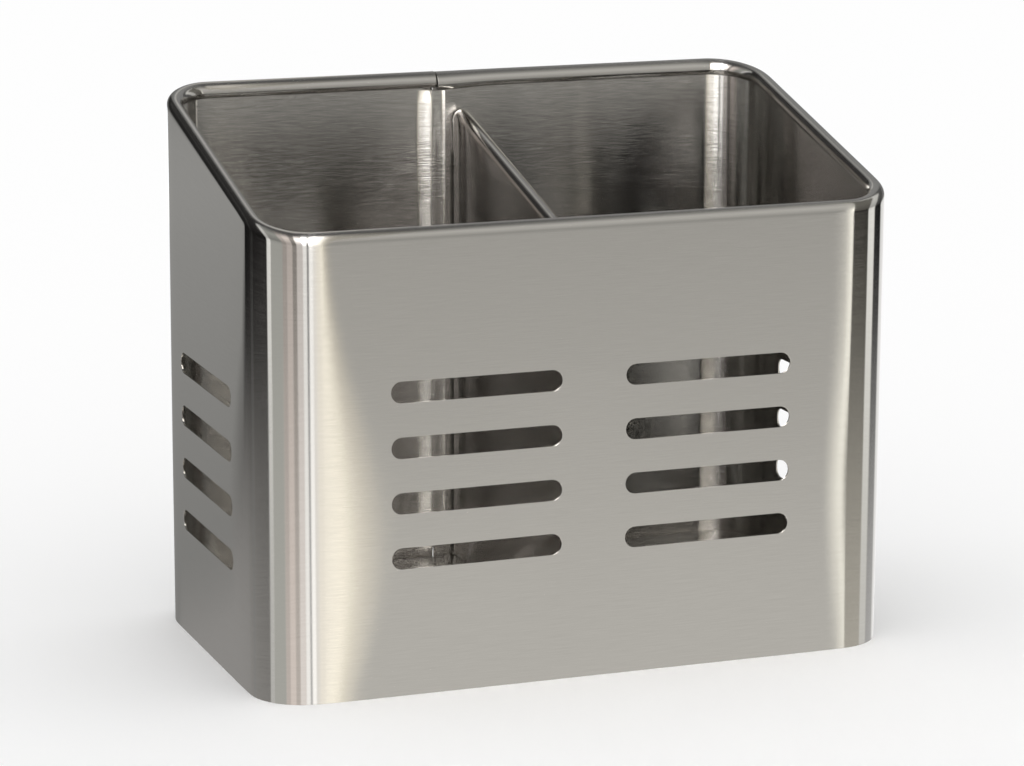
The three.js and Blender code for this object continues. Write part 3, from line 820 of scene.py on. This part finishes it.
# Each card has its bearing from and to and its softness, in degrees. Then come the level that the
# holder's foot mirrors, the level that its rim mirrors, the level above, what multiplies that
# level higher up, and the tint.
CARDS = [
    (15.95, 16.8, 0.15, 0.77, 0.60, 0.75, 0.6, (1.03, 1.00, 0.92)),
    (14.7, 15.95, 0.12, 0.88, 0.70, 0.90, 0.5, (1.05, 1.00, 0.89)),
    (13.65, 14.7, 0.12, 1.03, 0.90, 1.20, 0.4, (1.06, 1.00, 0.87)),
    (12.1, 13.65, 0.12, 1.48, 1.36, 1.80, 0.4, (1.05, 1.00, 0.88)),
    (9.0, 12.1, 0.4, 1.18, 1.12, 2.60, 0.6, (1.05, 1.00, 0.91)),
    (7.2, 9.0, 0.6, 1.12, 1.08, 3.60, 1.6, (1.04, 1.00, 0.94)),
    (4.2, 7.2, 0.8, 1.08, 1.06, 3.40, 2.0, (1.03, 1.00, 0.96)),
    (-1.6, 4.2, 0.8, 1.42, 1.28, 5.60, 2.6, (1.01, 1.00, 0.99)),
    (-4.8, -1.6, 0.7, 0.60, 0.42, 0.60, 1.0, (1.00, 1.00, 1.00)),
    (-12.0, -4.8, 1.0, 1.26, 1.10, 4.20, 2.2, (1.01, 1.00, 0.99)),
    (-23.5, -12.0, 2.0, 0.96, 0.80, 1.50, 1.5, (1.05, 0.99, 0.96)),
    (-32.0, -23.5, 1.5, 0.60, 0.40, 0.40, 1.0, (1.07, 0.99, 0.93)),
    (-43.0, -32.0, 2.0, 0.82, 0.66, 0.92, 1.0, (1.09, 0.985, 0.93)),
    (-52.0, -43.0, 2.0, 0.64, 0.50, 0.66, 1.0, (1.08, 0.985, 0.93)),
    (-77.5, -52.0, 2.0, 0.56, 0.52, 0.42, 1.0, (0.99, 1.00, 0.95)),
    (-87.0, -77.5, 1.2, 0.74, 0.95, 0.90, 1.0, (1.00, 1.00, 0.98)),
    (-131.0, -87.0, 3.0, 0.235, 0.038, 0.03, 1.0, (1.02, 1.00, 0.98)),
    (-137.0, -131.0, 2.0, 0.24, 0.08, 0.06, 1.0, (1.00, 1.00, 1.00)),
    (-161.8, -137.0, 2.6, 0.23, 0.028, 0.03, 1.0, (1.02, 1.00, 0.98)),
    (-185.0, -161.8, 2.6, 0.27, 0.31, 0.23, 1.0, (1.00, 1.00, 0.98)),
    (-196.0, -185.0, 3.0, 0.38, 0.85, 0.30, 1.0, (0.98, 1.00, 1.04)),
    (28.9, 30.8, 0.4, 0.92, 0.84, 1.40, 0.5, (1.02, 1.00, 0.93)),
    (30.8, 33.7, 0.4, 1.20, 1.30, 2.60, 0.25, (1.02, 1.00, 0.92)),
    (33.7, 67.0, 1.0, 0.46, 0.15, 0.18, 1.0, (1.04, 1.00, 0.90)),
    (67.0, 87.0, 3.0, 0.85, 1.00, 0.80, 1.0, (1.00, 1.00, 0.97)),
    (87.0, 115.0, 5.0, 0.42, 0.10, 0.12, 1.0, (1.00, 1.00, 1.00)),
    (115.0, 166.0, 6.0, 0.95, 0.95, 0.30, 1.0, (1.00, 1.00, 1.00)),
]
# the card that fills every bearing that the others leave free
FRONT_CARD = (0.63, 0.545, 0.62, 1.0, (1.015, 1.00, 0.955))
GAIN, CEILING, DARKEST = 1.14, 0.10, 0.01
# how many degrees below level the rim mirrors, how many more the foot does, and the ends of that run
RIM_DROP, FOOT_DROP, DROP_LEAST, DROP_MOST = 7.9, 4.6, -1, 1.5
EYE_HEIGHT, DIM_SHARE = 80.0, 0.58
# elevation in degrees at which each change above the rim's level starts, and how many degrees it takes
ABOVE, BRIGHTENING, ON_TOP, OVERHEAD = (-3.0, 6.0), (0.0, 40.0), (10.0, 28.0), (50.0, 28.0)
print("cards:", len(CARDS) + 1)


# %% Follow the mirrored sight
TURN_BACK = 100


def mirrored_sight(s, elevation=None):
    """Plan direction in which brushed sheet at s mirrors the line of sight at a given elevation.
    Grooves that run level scatter a ray over a cone: the part of the direction along the sheet
    stays, the elevation varies, and what is left points outward. Without an elevation it is the
    plain mirrored sight. Where the sheet faces away from the camera, the sight goes straight on."""
    x, y, out_x, out_y = walk(s)
    sight = np.stack([x - CAMERA_PLACE[0], y - CAMERA_PLACE[1], SIGHT_HEIGHT - CAMERA_PLACE[2] + 0 * x])
    sight_x, sight_y, sight_z = sight / np.linalg.norm(sight, axis=0)
    level_part = 1 - sight_z**2 if elevation is None else np.cos(elevation) ** 2
    along = sight_y * out_x - sight_x * out_y
    outward = np.sqrt(np.maximum(level_part - along**2, 0))
    facing = sight_x * out_x + sight_y * out_y < 0
    to_x = np.where(facing, outward * out_x - along * out_y, sight_x)
    to_y = np.where(facing, outward * out_y + along * out_x, sight_y)
    size = np.hypot(to_x, to_y)
    return to_x / size, to_y / size


def card_bearing(way):
    """Bearing of the plain mirrored sight in degrees. At the back of the left side it is counted
    on below -180, so that it never jumps."""
    to_x, to_y = mirrored_sight(way)
    bearing = np.degrees(np.arctan2(to_x, -to_y))
    return np.where((bearing > TURN_BACK) & (way > LEFT_WALL), bearing - 360, bearing)


middle = card_bearing(np.array(FRONT_WALL + CORE_X))
print("bearing mirrored by the middle of the front wall, degrees:", round(float(middle), 1))


# %% Colour the cards
def ramp(value, start, length):
    """Column that rises from 0 to 1 over a length from a start."""
    return np.clip((value - start) / length, 0, 1)[:, None]


def card_light(where, x, y, z):
    """Colour of the card surface. Each card counts inside its soft-edged range of bearings. Its
    level runs with the elevation from the foot's to the rim's, and then to the level above, and
    overhead everything fades into the ceiling."""
    elevation = np.degrees(np.arctan2(z - EYE_HEIGHT, np.hypot(x, y)))
    drop = -np.degrees(np.arctan2(z, np.hypot(x, y)))
    near = np.clip((drop - RIM_DROP) / FOOT_DROP, DROP_LEAST, DROP_MOST)[:, None]
    raised, on_top, overhead = [ramp(elevation, *change) for change in (ABOVE, ON_TOP, OVERHEAD)]
    upward = DIM_SHARE + (1 - DIM_SHARE) * ramp(elevation, *BRIGHTENING)

    def tone(near_level, far_level, upper_level, top, tint):
        low_level = np.maximum(near_level * near + far_level * (1 - near), DARKEST)
        upper_level = upper_level * (1 + (top - 1) * on_top)
        return GAIN * (low_level * (1 - raised) + upper_level * upward * raised) * np.array(tint)

    total = np.zeros((len(x), 3))
    weight = np.zeros((len(x), 1))
    for start, stop, soft, *levels in CARDS:
        inside = np.clip((where - start) / soft + 0.5, 0, 1) * np.clip((stop - where) / soft + 0.5, 0, 1)
        total += inside[:, None] * tone(*levels)
        weight += inside[:, None]
    total += np.clip(1 - weight, 0, 1) * tone(*FRONT_CARD)
    total /= np.maximum(weight, 1.0)
    return total * (1 - overhead) + CEILING * overhead


middle_light = card_light(np.zeros(1), np.zeros(1), np.full(1, -REACH), np.zeros(1))
print("colour straight ahead at the floor's height:", np.round(middle_light, 3))

# %% Build the surface that carries the cards
BOWL_ROWS, RING_ROWS, DOME_ROWS, RING_HEIGHT, START_SLOPE = 60, 12, 40, 0.4, 3
card_ways = lines([
    (0.0, 20), (ARC_STARTS[0], 60), (RIGHT_WALL, 20), (ARC_STARTS[1], 1000), (FRONT_WALL, 90),
    (ARC_STARTS[2], 1600), (LEFT_WALL, 40), (ARC_STARTS[3], 160), (WALL_STARTS[4], 20),
    (LEFT_END + SEAM_GAP, 0),
])


def card_profile():
    """Reach and angle along the profile: a quarter circle from straight below the holder up to the
    floor, a level ring inward, and a quarter ellipse up to the middle of the ceiling."""
    reach = np.concatenate([
        np.full(BOWL_ROWS, BOWL), np.linspace(BOWL, REACH, RING_ROWS), np.full(DOME_ROWS, REACH),
    ])
    angle = np.concatenate([
        np.linspace(-math.pi / 2, 0, BOWL_ROWS + 1)[:-1], np.zeros(RING_ROWS),
        np.linspace(0, math.pi / 2, DOME_ROWS + 1)[1:],
    ])
    return reach, angle


def build_cards():
    """Grid of the way round the holder by the profile. A point lies from its start, near the
    holder's wall, along the direction in which the wall mirrors the sight at the point's
    elevation. The start moves in to the middle where the profile is steep."""
    reach, angle = card_profile()
    turn, way = [grid.ravel() for grid in np.meshgrid(np.arange(len(reach)), card_ways, indexing="ij")]
    x, y, _, _ = walk(way)
    distance, angle = reach[turn] * np.cos(angle[turn]), angle[turn]
    pz = RING_HEIGHT + np.where(angle < 0, BOWL, DOME_TOP) * np.sin(angle)
    to_x, to_y = mirrored_sight(way, np.arctan2(pz - SIGHT_HEIGHT, distance))
    start = np.where(angle < 0, np.minimum(1.0, START_SLOPE * np.cos(angle)), np.cos(angle))
    px, py = x * start + to_x * distance, y * start + to_y * distance
    mesh = bpy.data.meshes.new("studio_cards")
    points = np.stack([px, py, pz], axis=-1) * MM
    mesh.from_pydata(points.tolist(), [], whole_grid(reach, card_ways).tolist())
    colour = card_light(card_bearing(way), px, py, pz)
    light = np.concatenate([colour, np.ones((len(px), 1))], axis=1)
    mesh.attributes.new("card_light", "FLOAT_COLOR", "POINT").data.foreach_set("color", light.ravel())
    cards = bpy.data.objects.new("studio_cards", mesh)
    bpy.context.collection.objects.link(cards)
    for ray in ("camera", "diffuse", "transmission", "volume_scatter", "shadow"):
        setattr(cards, "visible_" + ray, False)
    return cards


cards = build_cards()
card_paint = bpy.data.materials.new("card_paint")
card_paint.use_nodes = True
card_paint.cycles.emission_sampling = "NONE"
tree = card_paint.node_tree
tree.nodes.clear()
card_colour = add_node(tree, "ShaderNodeAttribute", attribute_name="card_light")
glow = add_node(tree, "ShaderNodeEmission", (200, 0))
glow.inputs["Strength"].default_value = 1.0
output = add_node(tree, "ShaderNodeOutputMaterial", (400, 0))
tree.links.new(card_colour.outputs["Color"], glow.inputs["Color"])
tree.links.new(glow.outputs["Emission"], output.inputs["Surface"])
cards.data.materials.append(card_paint)
print("card surface faces:", len(cards.data.polygons))
